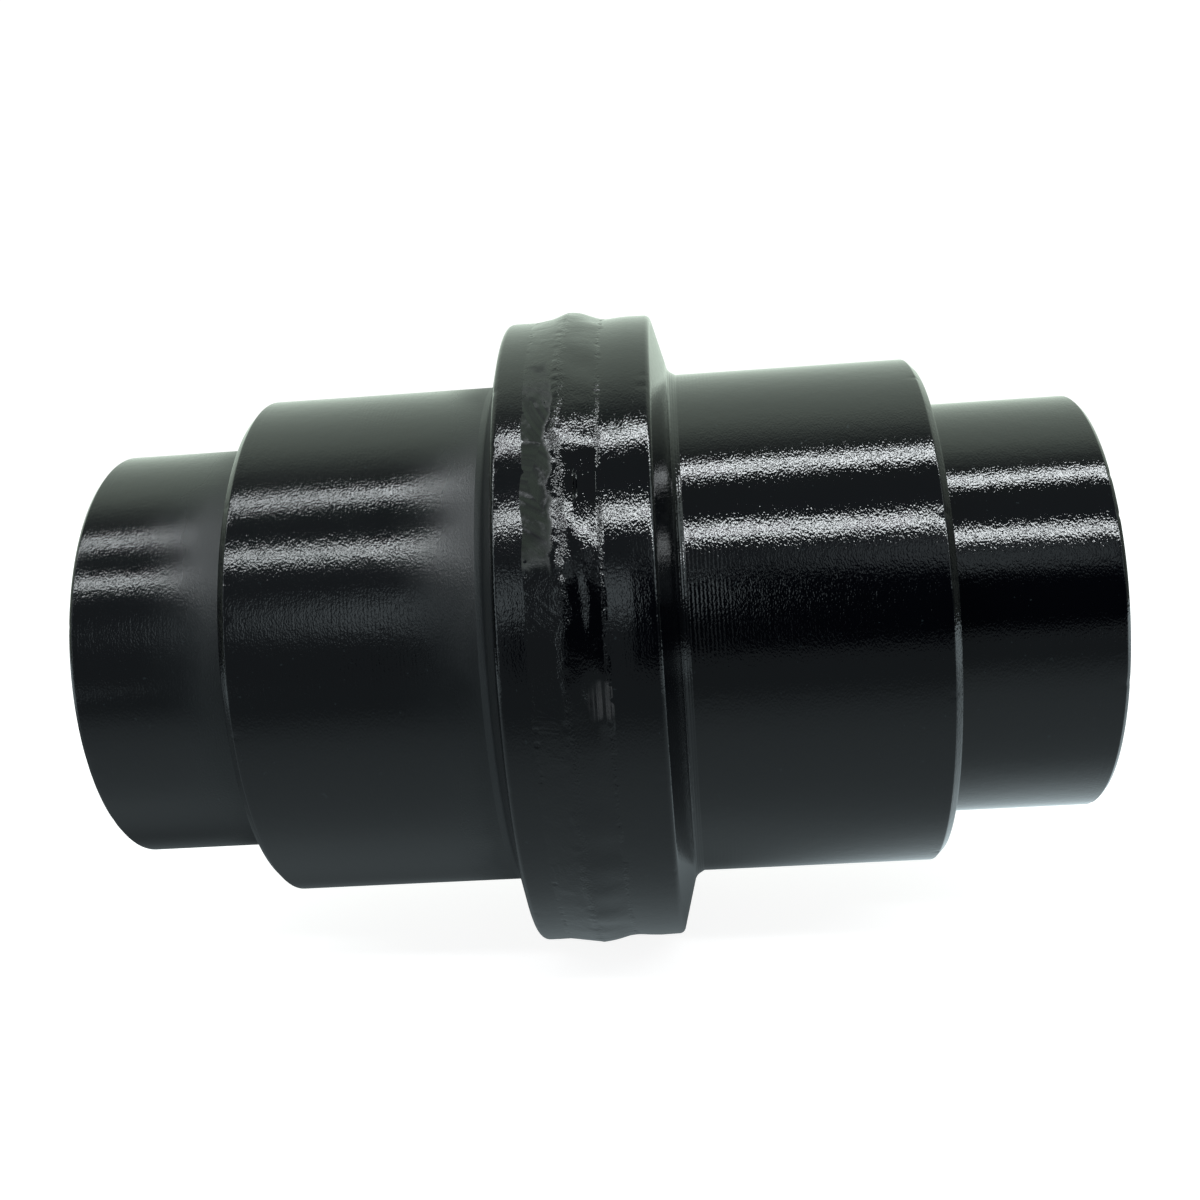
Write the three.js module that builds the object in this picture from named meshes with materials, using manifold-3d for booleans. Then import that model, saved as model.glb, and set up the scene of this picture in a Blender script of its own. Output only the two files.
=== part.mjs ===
// Bottom track roller of a small excavator, centre-flange type, with its shaft, bushes, seals and end collars.
// Millimetres, +Z up, origin at the roller's centre, axis of rotation along +Y.
// The roller is two forged halves welded round the rim of the centre flange. It turns on two flanged bushes.
// The shaft, the collars and everything pinned to them stand still and are bolted between two frame plates.

import * as THREE from "three";
import { mergeVertices } from "three/addons/utils/BufferGeometryUtils.js";
import Module from "manifold-3d";

// Driving dimensions of the outside.
const TREAD_R = 50;
const FLANGE_R = 62;
const COLLAR_R = 40.75;
const BODY_HALF = 64; // centre to the roller's end face
const OVERALL_HALF = 94.5; // centre to a collar's outer face, where the frame plate bears

// Gaps: two pieces that touch keep GAP between them, and pieces that turn past each other keep at least that.
const GAP = 0.3;
const LABYRINTH = 0.95; // round a collar, where it enters the roller
const END_RECESS = 1.5; // shaft end below the collar's outer face

// Centre flange and weld.
const CREST_HALF = 13.6;
const FOOT_HALF = 16.6; // where the flange's flank would meet the tread without its fillet
const FOOT_FILLET = 4;
const CREST_ROUND = 1.2;
const BODY_CHAMFER = 1.5;
const WELD_ROOT_R = 52;
const WELD_ROOT_HALF = 1.5;
const WELD_TOE = { left: 8.3, right: 5 }; // how far the bead reaches from the joint over each half
const WELD_TOE_R = 61.8;
const WELD_CROWN_R = 63;

// Shaft and bushes.
const SHAFT_R = 17.5;
const SHAFT_HALF = OVERALL_HALF - END_RECESS;
const SHAFT_CHAMFER = 1;
const THRUST_R = 24.5;
const THRUST_HALF = 6;
const BUSH_WALL = 3.2;
const BUSH_FLANGE_R = 25.5;
const BUSH_FLANGE = 3.4;
const BUSH_END = 42.5;
const CAVITY_R = 27; // oil space round the thrust collar
const SEAT_START = THRUST_HALF + GAP + BUSH_FLANGE + GAP; // shoulder that the bush flange rests on

// Face seals: one metal ring and one rubber toric in the roller, and the same pair mirrored in the collar.
const SEAL_PLANE = 54.75; // where the two metal rings run on each other
const POCKET_FLOOR = 11.25; // from the seal plane to a pocket's floor
const POCKET_LIP = 1.75; // from the seal plane to a pocket's mouth
const POCKET_R = { floor: 31, lip: 32.6 };
const TORIC = { r: 27.83, off: 6.45, section: 3.5 }; // off: from the seal plane to the section's centre
const SEAL_RING = {
  boreR: 20.5,
  face: { inner: 22.5, outer: 28.6 }, // radii of the lapped face
  relief: 0.95, // the cone inside the face ends this far from the seal plane, on the bore
  leg: 2.35, // thickness at the rim
  seat: { back: 23.2, foot: 24.6, off: 3.15 }, // the cone that the toric grips, and how far off it starts
  back: 8.75, // the ring's far end, from the seal plane
};

// Collars and what holds them.
const COLLAR_CHAMFER = 0.8;
const BOLT_CIRCLE_R = 29;
const BOLT_DRILL_R = 5.1; // tapping drill of an M12 thread
const BOLT_DEPTH = 22;
const BOLT_MOUTH = 1.2;
const PIN_R = 4;
const PIN_Y = 80;
const PIN_Z = -16; // the pin lies half in the collar and half in a notch of the shaft
const PIN_START = -36;
const PIN_LENGTH = 60;
const O_RING = { y: 72, r: 16.4, section: 1.1, groove: 2, grooveR: 15 };

// Oil way and its plug, in the left end of the shaft.
const PLUG_R = 5.9;
const PLUG_LENGTH = 9;
const PLUG_RECESS = 1;
const PLUG_KEY = 6; // across the flats of its hexagon socket
const PLUG_KEY_DEPTH = 5;
const OIL_R = 3;
const OIL_CROSS_R = 2.5;
const CENTRE_HOLE = { r: 4, depth: 6.9 };

// Facets round each kind of piece.
const ROUND = { body: 64, core: 48, seal: 36, small: 20 };
const OVERSHOOT = 5; // how far a cutter runs past the face it starts from

const paint = { color: 0x0b0c0d, roughness: 0.25, metalness: 0 };
const steel = { color: 0xa9abad, roughness: 0.3, metalness: 1 };
const bronze = { color: 0xb08a4a, roughness: 0.4, metalness: 1 };
const sealIron = { color: 0x6f7072, roughness: 0.35, metalness: 1 };
const rubber = { color: 0x161616, roughness: 0.8, metalness: 0 };

const wasm = await Module();
wasm.setup();

// ---- Outlines ----

// A closed outline through corners [r, y, radius]. A corner with a radius becomes an arc of `steps` chords.
function outline(corners, steps = 4) {
  return corners.flatMap(([x, y, radius], i) => {
    const corner = new THREE.Vector2(x, y);
    if (!radius) return [corner];
    const before = new THREE.Vector2(...corners.at(i - 1)).sub(corner).normalize();
    const after = new THREE.Vector2(...corners[(i + 1) % corners.length]).sub(corner).normalize();
    const half = Math.acos(before.dot(after)) / 2;
    const centre = before.clone().add(after).setLength(radius / Math.sin(half)).add(corner);
    const start = before.clone().multiplyScalar(radius / Math.tan(half)).add(corner).sub(centre);
    const end = after.clone().multiplyScalar(radius / Math.tan(half)).add(corner).sub(centre);
    const turn = Math.atan2(start.cross(end), start.dot(end));
    return Array.from({ length: steps + 1 }, (_, k) =>
      start.clone().rotateAround(new THREE.Vector2(), (turn * k) / steps).add(centre),
    );
  });
}

// A corner [r, y] cut back by `size` along both edges, for an outline whose edges there lie along r and y.
function chamfer(r, y, size, [dr0, dy0], [dr1, dy1]) {
  return [
    [r + dr0 * size, y + dy0 * size],
    [r + dr1 * size, y + dy1 * size],
  ];
}

// The solid that a closed outline sweeps round the Y axis, as a geometry.
function turned(points, segments) {
  const closed = [...points, points[0]];
  const area = closed.slice(1).reduce((sum, p, i) => sum + closed[i].cross(p), 0);
  return new THREE.LatheGeometry(area > 0 ? closed : closed.reverse(), segments);
}

// A ring of round section, with `sides` flats to the section.
function torus({ r, section }, y, segments, sides) {
  const points = Array.from({ length: sides }, (_, k) => {
    const angle = (2 * Math.PI * k) / sides;
    return new THREE.Vector2(r + section * Math.cos(angle), y + section * Math.sin(angle));
  });
  return turned(points, segments);
}

// ---- Booleans ----

function solidOf(geometry) {
  const bare = new THREE.BufferGeometry();
  bare.setAttribute("position", geometry.getAttribute("position"));
  bare.setIndex(geometry.getIndex());
  const merged = mergeVertices(bare, 1e-4);
  return new wasm.Manifold(
    new wasm.Mesh({
      numProp: 3,
      vertProperties: merged.getAttribute("position").array,
      triVerts: new Uint32Array(merged.getIndex().array),
    }),
  );
}

function cut(geometry, ...tools) {
  const left = tools.reduce((solid, tool) => solid.subtract(solidOf(tool)), solidOf(geometry));
  const mesh = left.getMesh();
  const made = new THREE.BufferGeometry();
  made.setAttribute("position", new THREE.BufferAttribute(mesh.vertProperties, 3));
  made.setIndex(new THREE.BufferAttribute(mesh.triVerts, 1));
  made.computeVertexNormals();
  return made;
}

// A cylinder from y0 to y1, parallel to the Y axis at (x, z). With r1 it tapers from r0 to r1.
function rod(r0, y0, y1, { x = 0, z = 0, r1 = r0, segments = ROUND.small } = {}) {
  const made = new THREE.CylinderGeometry(r1, r0, y1 - y0, segments);
  return made.translate(x, (y0 + y1) / 2, z);
}

// A cylinder along X from x0 to x1, at height y along the shaft and z above it.
function crossRod(r, x0, x1, y, z) {
  const made = new THREE.CylinderGeometry(r, r, x1 - x0, ROUND.small);
  return made.rotateZ(Math.PI / 2).translate((x0 + x1) / 2, y, z);
}

// ---- The roller: halves, weld, bushes ----

// The half on the +Y side. `toe` is how far the weld reaches over it.
function rollerHalf(toe) {
  const pocketFloor = SEAL_PLANE - POCKET_FLOOR;
  const pocketMouth = SEAL_PLANE - POCKET_LIP;
  const boreR = SHAFT_R + GAP + BUSH_WALL + GAP;
  return turned(
    outline([
      [CAVITY_R, GAP / 2],
      [WELD_ROOT_R, GAP / 2],
      [WELD_ROOT_R, WELD_ROOT_HALF + GAP],
      [FLANGE_R, toe + GAP],
      [FLANGE_R, CREST_HALF, CREST_ROUND],
      [TREAD_R, FOOT_HALF, FOOT_FILLET],
      ...chamfer(TREAD_R, BODY_HALF, BODY_CHAMFER, [0, -1], [-1, 0]),
      [COLLAR_R + LABYRINTH, BODY_HALF],
      [COLLAR_R + LABYRINTH, pocketMouth],
      [POCKET_R.lip, pocketMouth],
      [POCKET_R.floor, pocketFloor],
      [boreR, pocketFloor],
      [boreR, SEAT_START],
      [CAVITY_R, SEAT_START],
    ]),
    ROUND.body,
  );
}

function weldBead() {
  const { left, right } = WELD_TOE;
  return turned(
    outline([
      [WELD_ROOT_R + GAP, -WELD_ROOT_HALF],
      [WELD_ROOT_R + GAP, WELD_ROOT_HALF],
      [WELD_TOE_R, right],
      [WELD_CROWN_R, right / 2],
      [WELD_CROWN_R, -left / 2],
      [WELD_TOE_R, -left],
    ]),
    ROUND.body,
  );
}

function bush() {
  const bore = SHAFT_R + GAP;
  const flangeStart = THRUST_HALF + GAP;
  const flangeEnd = flangeStart + BUSH_FLANGE;
  return turned(
    outline([
      [bore, flangeStart],
      [BUSH_FLANGE_R, flangeStart],
      [BUSH_FLANGE_R, flangeEnd],
      [bore + BUSH_WALL, flangeEnd],
      [bore + BUSH_WALL, BUSH_END],
      [bore, BUSH_END],
    ]),
    ROUND.core,
  );
}

// ---- Face seals ----
// Both are made for the +Y end. `side` is -1 for the pair in the roller, and 1 for the pair in the collar.

function sealRing(side) {
  const { boreR, face, relief, leg, seat, back } = SEAL_RING;
  const section = [
    [boreR, back],
    [seat.back, back],
    [seat.foot, seat.off],
    [face.outer, leg],
    [face.outer, GAP / 2],
    [face.inner, GAP / 2],
    [boreR, relief],
  ];
  return turned(outline(section.map(([r, off]) => [r, SEAL_PLANE + side * off])), ROUND.seal);
}

function toric(side) {
  return torus(TORIC, SEAL_PLANE + side * TORIC.off, ROUND.seal, 8);
}

// ---- The axle: shaft, collars, pins, plug ----

function pinHole() {
  return crossRod(PIN_R + GAP, -COLLAR_R - OVERSHOOT, PIN_START + PIN_LENGTH + GAP, PIN_Y, PIN_Z);
}

function collar() {
  const floor = SEAL_PLANE + POCKET_FLOOR;
  const mouth = SEAL_PLANE + POCKET_LIP;
  const bore = SHAFT_R + GAP;
  const blank = turned(
    outline([
      [COLLAR_R, mouth],
      ...chamfer(COLLAR_R, OVERALL_HALF, COLLAR_CHAMFER, [0, -1], [-1, 0]),
      ...chamfer(bore, OVERALL_HALF, COLLAR_CHAMFER, [1, 0], [0, -1]),
      [bore, floor],
      [POCKET_R.floor, floor],
      [POCKET_R.lip, mouth],
    ]),
    ROUND.body,
  );
  const boltHoles = [-BOLT_CIRCLE_R, BOLT_CIRCLE_R].flatMap((z) => [
    rod(BOLT_DRILL_R, OVERALL_HALF - BOLT_DEPTH, OVERALL_HALF + OVERSHOOT, { z }),
    rod(BOLT_DRILL_R, OVERALL_HALF - BOLT_MOUTH, OVERALL_HALF + GAP, {
      z,
      r1: BOLT_DRILL_R + BOLT_MOUTH + GAP,
    }),
  ]);
  return cut(blank, pinHole(), ...boltHoles);
}

// Half of the shaft's outline, from the middle to the +Y end, as corners [r, y].
function shaftProfile() {
  const groove = O_RING.groove;
  return [
    [THRUST_R, 0],
    [THRUST_R, THRUST_HALF],
    [SHAFT_R, THRUST_HALF],
    [SHAFT_R, O_RING.y - groove],
    [O_RING.grooveR, O_RING.y - groove],
    [O_RING.grooveR, O_RING.y + groove],
    [SHAFT_R, O_RING.y + groove],
    [SHAFT_R, SHAFT_HALF - SHAFT_CHAMFER],
    [SHAFT_R - SHAFT_CHAMFER, SHAFT_HALF],
    [0, SHAFT_HALF],
  ];
}

function shaft() {
  const half = shaftProfile();
  const otherHalf = half
    .slice(1)
    .map(([r, y]) => [r, -y])
    .reverse();
  const blank = turned(outline([...otherHalf, ...half]), ROUND.core);
  const plugHoleEnd = -SHAFT_HALF + PLUG_RECESS + PLUG_LENGTH + GAP;
  const leftPinHole = pinHole().rotateX(Math.PI);
  return cut(
    blank,
    pinHole(),
    leftPinHole,
    rod(PLUG_R + GAP, -SHAFT_HALF - OVERSHOOT, plugHoleEnd),
    rod(OIL_R, plugHoleEnd - GAP, OIL_CROSS_R),
    crossRod(OIL_CROSS_R, -THRUST_R - OVERSHOOT, THRUST_R + OVERSHOOT, 0, 0),
    rod(0, SHAFT_HALF - CENTRE_HOLE.depth, SHAFT_HALF, { r1: CENTRE_HOLE.r }),
  );
}

function oilPlug() {
  const outer = -SHAFT_HALF + PLUG_RECESS;
  const keyR = PLUG_KEY / 2 / Math.cos(Math.PI / 6);
  const socket = rod(keyR, outer - OVERSHOOT, outer + PLUG_KEY_DEPTH, { segments: 6 });
  return cut(rod(PLUG_R, outer, outer + PLUG_LENGTH), socket);
}

// ---- Assembly ----

function piece(name, geometry, finish) {
  const mesh = new THREE.Mesh(geometry, new THREE.MeshStandardMaterial(finish));
  mesh.name = name;
  return mesh;
}

// Everything that one end has. It is built at +Y, and the other end is the same set turned half round X.
function endSet(side) {
  const end = new THREE.Group();
  end.add(
    piece(`roller_half_${side}`, rollerHalf(WELD_TOE[side]), paint),
    piece(`bush_${side}`, bush(), bronze),
    piece(`seal_ring_roller_${side}`, sealRing(-1), sealIron),
    piece(`toric_roller_${side}`, toric(-1), rubber),
    piece(`seal_ring_collar_${side}`, sealRing(1), sealIron),
    piece(`toric_collar_${side}`, toric(1), rubber),
    piece(`collar_${side}`, collar(), paint),
    piece(`shaft_o_ring_${side}`, torus(O_RING, O_RING.y, ROUND.seal, 6), rubber),
    piece(`lock_pin_${side}`, crossRod(PIN_R, PIN_START, PIN_START + PIN_LENGTH, PIN_Y, PIN_Z), steel),
  );
  return end;
}

const roller = new THREE.Group();
const left = endSet("left");
left.rotation.x = Math.PI;
roller.add(
  endSet("right"),
  left,
  piece("weld_bead", weldBead(), paint),
  piece("shaft", shaft(), steel),
  piece("oil_plug", oilPlug(), steel),
);

export default roller;
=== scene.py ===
import math

import bmesh
import bpy
import numpy as np
from mathutils import Matrix, Vector


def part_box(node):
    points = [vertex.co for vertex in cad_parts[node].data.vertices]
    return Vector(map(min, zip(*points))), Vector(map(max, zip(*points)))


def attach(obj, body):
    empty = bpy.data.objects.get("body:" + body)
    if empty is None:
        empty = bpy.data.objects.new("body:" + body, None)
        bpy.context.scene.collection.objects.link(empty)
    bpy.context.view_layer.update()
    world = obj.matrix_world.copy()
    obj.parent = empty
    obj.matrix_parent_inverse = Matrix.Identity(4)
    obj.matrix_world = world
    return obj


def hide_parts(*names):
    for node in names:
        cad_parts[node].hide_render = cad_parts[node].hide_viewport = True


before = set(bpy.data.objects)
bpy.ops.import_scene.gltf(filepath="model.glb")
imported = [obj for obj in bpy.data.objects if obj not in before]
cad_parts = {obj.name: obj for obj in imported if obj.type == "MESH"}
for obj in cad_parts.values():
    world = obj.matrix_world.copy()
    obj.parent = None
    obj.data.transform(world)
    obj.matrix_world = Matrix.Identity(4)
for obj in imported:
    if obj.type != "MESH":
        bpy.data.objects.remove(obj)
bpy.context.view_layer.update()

# The row frame is in metres, with the roller's axis along +Y. Sizes that it can give are read from it.
MM = 0.001
FLANGE_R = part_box("roller_half_right")[1].z
BODY_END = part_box("roller_half_right")[1].y
COLLAR_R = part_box("collar_right")[1].z
COLLAR_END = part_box("collar_right")[1].y
COLLAR_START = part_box("collar_right")[0].y
WELD_LEFT, WELD_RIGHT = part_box("weld_bead")[0].y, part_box("weld_bead")[1].y
CROWN_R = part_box("weld_bead")[1].z
SHAFT_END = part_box("shaft")[1].y
THRUST_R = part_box("shaft")[1].z
BUSH_START, BUSH_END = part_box("bush_right")[0].y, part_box("bush_right")[1].y
BUSH_FLANGE_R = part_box("bush_right")[1].z

# The body
TREAD_R = 50 * MM
CREST_HALF = 13.6 * MM
CREST_DROP = 0.09 * MM
FOOT_HALF = 16.6 * MM
FOOT_END = 18.2 * MM
CAVITY_R = 27 * MM
SEAT_R = 21.3 * MM
LABYRINTH = 0.95 * MM
TOOL_FEED = 0.7 * MM  # the lathe's feed a turn, which shows through the paint

# The shaft, the bushes and the seals
SHAFT_R = 17.5 * MM
THRUST_HALF = 6 * MM
GROOVE_R = 15 * MM
GROOVE_START, GROOVE_END = 70 * MM, 74 * MM
BUSH_BORE_R = 17.8 * MM
BUSH_R = 21 * MM
BUSH_FLANGE = 3.4 * MM
OIL_GROOVE = 0.6 * MM
OIL_WAY_R = 3 * MM
CROSS_HOLE_R = 2.5 * MM
PLUG_HOLE_R = 6.2 * MM
PLUG_HOLE_DEPTH = 10.3 * MM
PLUG_R = 5.9 * MM
KEY_HALF = 3 * MM  # half the width across flats of the plug's hexagon socket
SEAL_PLANE = 54.75 * MM
POCKET_FLOOR_R = 31 * MM
POCKET_LIP_R = 32.6 * MM
POCKET_FLOOR = 11.25 * MM
POCKET_LIP = 1.75 * MM

# The collars' holes
BOLT_CIRCLE_R = 29 * MM
THREAD_R = 6 * MM
THREAD_PITCH = 1.75 * MM
THREAD_DEPTH = 22 * MM
PIN_Y = 80 * MM
PIN_Z = 16 * MM
PIN_R = 4 * MM
PIN_HOLE_R = PIN_R + 0.1 * MM
PIN_HOLE_END = 24 * MM

# The humps and hollows of the weld that stand out. Each has the angle of its middle round the roller, in
# degrees from +X towards +Z, and then in mm its place along the axis, its half length round the roller, its
# half width along the axis, and its lift.
WELD_SHAPES = (
    (89, -1.0, 9.0, 3.0, 0.45),
    (35, 2.7, 5.0, 1.8, -0.26),
    (22, 2.7, 4.5, 1.8, 0.22),
    (26, -1.3, 3.4, 1.5, -0.24),
    (16, 0.2, 4.5, 1.6, -0.2),
    (35.5, 0.7, 3.2, 0.3, -0.3),
    (10, 3.4, 4.0, 1.0, -0.14),
    (3.0, 2.2, 2.5, 1.6, -0.36),
    (-1.1, 4.2, 2.5, 1.6, 0.36),
    (60, 1.5, 7.0, 2.5, -0.15),
    (48, 0.5, 3.0, 2.5, 0.08),
)

# The colours of the paint, and of the dust and scuffs on it
BLACK = (0.0005, 0.0006, 0.0014)
DUST = (0.012, 0.016, 0.018)
WELD_BLACK = (0.0006, 0.0007, 0.0014)
WELD_SCRATCHED = (0.01, 0.014, 0.009)
WELD_DABBED = (0.022, 0.021, 0.022)

FULL_TURN = 2 * math.pi
MERGE_DISTANCE = 1e-7


# ---- Turned meshes ----


def outline(corners, spacing=2 * MM, arc_step=math.radians(12)):
    """The closed outline through corners (r, y) or (r, y, radius), as an array of points no further apart
    than spacing, with no more than arc_step of turn between them."""
    points = []
    for i, (r, y, *radius) in enumerate(corners):
        corner = Vector((r, y))
        if not radius:
            points.append(corner)
            continue
        before = (Vector(corners[i - 1][:2]) - corner).normalized()
        after = (Vector(corners[(i + 1) % len(corners)][:2]) - corner).normalized()
        half = before.angle(after) / 2
        centre = corner + (before + after).normalized() * radius[0] / math.sin(half)
        start = corner + before * radius[0] / math.tan(half) - centre
        end = corner + after * radius[0] / math.tan(half) - centre
        turn = math.atan2(start.cross(end), start.dot(end))
        steps = max(2, math.ceil(abs(turn) / arc_step))
        for k in range(steps + 1):
            points.append(centre + Matrix.Rotation(turn * k / steps, 2) @ start)
    filled = []
    for here, there in zip(points, points[1:] + points[:1]):
        pieces = max(1, math.ceil((there - here).length / spacing))
        filled += [here.lerp(there, k / pieces) for k in range(pieces)]
    return np.array(filled)


def anticlockwise(points):
    """Whether a closed outline runs from +r towards +y."""
    r, y = points.T
    return np.sum(r * np.roll(y, -1) - np.roll(r, -1) * y) > 0


def outward(points):
    """The unit normals of a closed outline, pointing out of it."""
    along = np.roll(points, -1, 0) - np.roll(points, 1, 0)
    normals = np.stack([along[:, 1], -along[:, 0]], 1)
    normals /= np.linalg.norm(normals, axis=1, keepdims=True)
    return normals if anticlockwise(points) else -normals


def add_object(name, data):
    obj = bpy.data.objects.new(name, data)
    bpy.context.scene.collection.objects.link(obj)
    return obj


def revolve(name, points, segments, relief=None, radial=False):
    """A mesh object: the closed outline turned round the Y axis. relief(angle, r, y) gives how far each
    point stands proud of the outline, at right angles to it or, if radial, away from the axis."""
    angle = (np.arange(segments) * FULL_TURN / segments)[:, None]
    r = np.broadcast_to(points[:, 0], (segments, len(points))).copy()
    y = np.broadcast_to(points[:, 1], (segments, len(points))).copy()
    if relief:
        proud = relief(angle, r, y)
        normals = np.array([[1, 0]] * len(points)) if radial else outward(points)
        r += proud * normals[:, 0]
        y += proud * normals[:, 1]
    co = np.stack([r * np.cos(angle), y, r * np.sin(angle)], 2).reshape(-1, 3)
    index = np.arange(co.shape[0]).reshape(segments, len(points))
    ahead = np.roll(index, -1, 0)
    quads = np.stack([index, np.roll(index, -1, 1), np.roll(ahead, -1, 1), ahead], 2).reshape(-1, 4)
    if not anticlockwise(points):
        quads = quads[:, ::-1]
    mesh = bpy.data.meshes.new(name)
    mesh.from_pydata(co.tolist(), [], quads.tolist())
    mesh.update()
    return add_object(name, mesh)


def on_axis(name, points, segments):
    """As revolve, for an outline that touches the axis. Its points there are merged, and the faces that
    shrink to nothing are dropped."""
    obj = revolve(name, points, segments)
    work = bmesh.new()
    work.from_mesh(obj.data)
    bmesh.ops.remove_doubles(work, verts=work.verts, dist=MERGE_DISTANCE)
    bmesh.ops.dissolve_degenerate(work, edges=work.edges, dist=MERGE_DISTANCE)
    bmesh.ops.recalc_face_normals(work, faces=work.faces)
    work.to_mesh(obj.data)
    work.free()
    return obj


def turn_end_for_end(obj):
    """Turns a piece that is drawn at +Y half a turn about X, to the other end."""
    obj.data.transform(Matrix.Rotation(math.pi, 4, "X"))


def carve(obj, cutters):
    """Takes the cutters away from obj. The walls that they leave keep the cutters' materials."""
    for cutter in cutters:
        modifier = obj.modifiers.new(cutter.name, "BOOLEAN")
        modifier.operation = "DIFFERENCE"
        modifier.solver = "EXACT"
        modifier.material_mode = "TRANSFER"
        modifier.object = cutter
    bpy.context.view_layer.update()
    graph = bpy.context.evaluated_depsgraph_get()
    carved = bpy.data.meshes.new_from_object(obj.evaluated_get(graph))
    obj.modifiers.clear()
    obj.data = carved
    for cutter in cutters:
        bpy.data.objects.remove(cutter)


# ---- Reliefs: how far a surface stands proud of its outline ----


def waves(seed, turns, pitch, count=24):
    """A smooth random relief with a mean square of 1. turns are the least and the most waves round the
    roller, and pitch is the shortest wave along its axis."""
    draw = np.random.default_rng(seed)
    lobes = draw.integers(turns[0], turns[1] + 1, count)
    along = draw.uniform(-1, 1, count) * FULL_TURN / pitch
    phase = draw.uniform(0, FULL_TURN, count)

    def relief(angle, r, y):
        total = sum(np.cos(n * angle + k * y + p) for n, k, p in zip(lobes, along, phase))
        return total * math.sqrt(2 / count)

    return relief


def turned(angle, middle):
    """How far an angle is from the middle of something, between minus half a turn and half a turn."""
    return (angle - middle + math.pi) % FULL_TURN - math.pi


def dents(seed, count, heights, size, depth):
    """Small round dents, scattered round the roller between two heights on its axis. size is their least
    and most radius, and depth their least and most depth."""
    draw = np.random.default_rng(seed)
    spots = np.stack(
        [
            draw.uniform(0, FULL_TURN, count),
            draw.uniform(*heights, count),
            draw.uniform(*size, count),
            draw.uniform(*depth, count),
        ],
        1,
    )

    def relief(angle, r, y):
        total = np.zeros(np.broadcast(angle, r).shape)
        for turn, height, width, deep in spots:
            away = (r * turned(angle, turn)) ** 2 + (y - height) ** 2
            total -= deep * np.exp(-away / width**2)
        return total

    return relief


def humps(shapes):
    """The humps and hollows of a list such as WELD_SHAPES."""

    def relief(angle, r, y):
        total = np.zeros(np.broadcast(angle, r).shape)
        for turn, height, around, along, lift in shapes:
            away = turned(angle, math.radians(turn))
            falloff = (away * FLANGE_R / (around * MM)) ** 2 + ((y - height * MM) / (along * MM)) ** 4
            total += lift * MM * np.exp(-falloff)
        return total

    return relief


def step(low, high, x):
    """A smooth rise from 0 at low to 1 at high."""
    t = np.clip((x - low) / (high - low), 0, 1)
    return t * t * (3 - 2 * t)


# ---- Materials ----

# The relief of the paint: how many cells each noise has in a metre, and how high it stands
GRAIN_SCALE, GRAIN_HEIGHT = 2150, 0.034 * MM
PEEL_SCALE, PEEL_HEIGHT = 420, 0.03 * MM
TURNING_SCALE, TURNING_HEIGHT = 1300, 0.012 * MM
FAINT_FEED = 0.002 * MM  # the height of the lathe's feed away from the band where it shows
DRY_GRAIN_HEIGHT = 0.01 * MM
WELD_GRAIN_HEIGHT = 0.044 * MM
WELD_PEEL_HEIGHT = 0.05 * MM
STROKE_HEIGHT = 0.06 * MM
COARSE_HEIGHT = 0.08 * MM

# What is added to the paint's roughness
FLANK_ROUGHNESS = 0.1
DRY_ROUGHNESS = 0.34
GROUND_ROUGHNESS = 0.88

# The patch where the grinder has touched the bead once more: its middle, half length and half width
DAB_TURN = math.radians(1)
DAB_Y = 3.2 * MM
DAB_HALF_LENGTH = 3.6 * MM
DAB_HALF_WIDTH = 2.2 * MM


def put(tree, kind, inputs=None, **settings):
    """A node with its settings, and its inputs set to numbers or joined to other nodes' outputs."""
    node = tree.nodes.new("ShaderNode" + kind)
    for name, value in settings.items():
        setattr(node, name, value)
    for name, value in (inputs or {}).items():
        if isinstance(value, bpy.types.NodeSocket):
            tree.links.new(value, node.inputs[name])
        else:
            node.inputs[name].default_value = value
    return node


def maths(tree, operation, *values):
    return put(tree, "Math", dict(enumerate(values)), operation=operation).outputs[0]


def times(tree, first, second):
    return maths(tree, "MULTIPLY", first, second)


def plus(tree, base, value, factor):
    """base, and factor times value on top."""
    return maths(tree, "MULTIPLY_ADD", value, factor, base)


def off(tree, value, middle):
    """How far a value is from a middle, either way."""
    return maths(tree, "ABSOLUTE", maths(tree, "SUBTRACT", value, middle))


def vectors(tree, operation, *values, result="Vector"):
    """As maths, for vectors. result names the output."""
    return put(tree, "VectorMath", dict(enumerate(values)), operation=operation).outputs[result]


def noise(tree, at, scale, detail=2, rough=0.5):
    inputs = {"Vector": at, "Scale": scale, "Detail": detail, "Roughness": rough}
    return put(tree, "TexNoise", inputs).outputs[0]


def ring_noise(tree, ring, scale, detail=2):
    """Noise that is the same wherever ring is the same, such as all along a turned line."""
    inputs = {"W": ring, "Scale": scale, "Detail": detail}
    return put(tree, "TexNoise", inputs, noise_dimensions="1D").outputs[0]


def ramp(tree, value, low, high, to_low=0.0, to_high=1.0, smooth_step=False):
    """From to_low where value is low to to_high where it is high, and no further."""
    inputs = {"Value": value, "From Min": low, "From Max": high, "To Min": to_low, "To Max": to_high}
    kind = "SMOOTHSTEP" if smooth_step else "LINEAR"
    return put(tree, "MapRange", inputs, interpolation_type=kind).outputs[0]


def blend(tree, factor, first, second):
    return put(tree, "Mix", {0: factor, 2: first, 3: second}, data_type="FLOAT").outputs[0]


def blend_colour(tree, factor, first, second):
    """As blend, for two colours. Each is three numbers or another node's output."""
    inputs = {0: factor}
    for index, colour in ((6, first), (7, second)):
        inputs[index] = (*colour, 1) if isinstance(colour, tuple) else colour
    return put(tree, "Mix", inputs, data_type="RGBA").outputs[2]


def position(tree):
    return put(tree, "TexCoord").outputs["Object"]


def axes(tree, vector):
    """The outputs X, Y and Z of a vector."""
    return put(tree, "SeparateXYZ", {0: vector}).outputs


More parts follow.
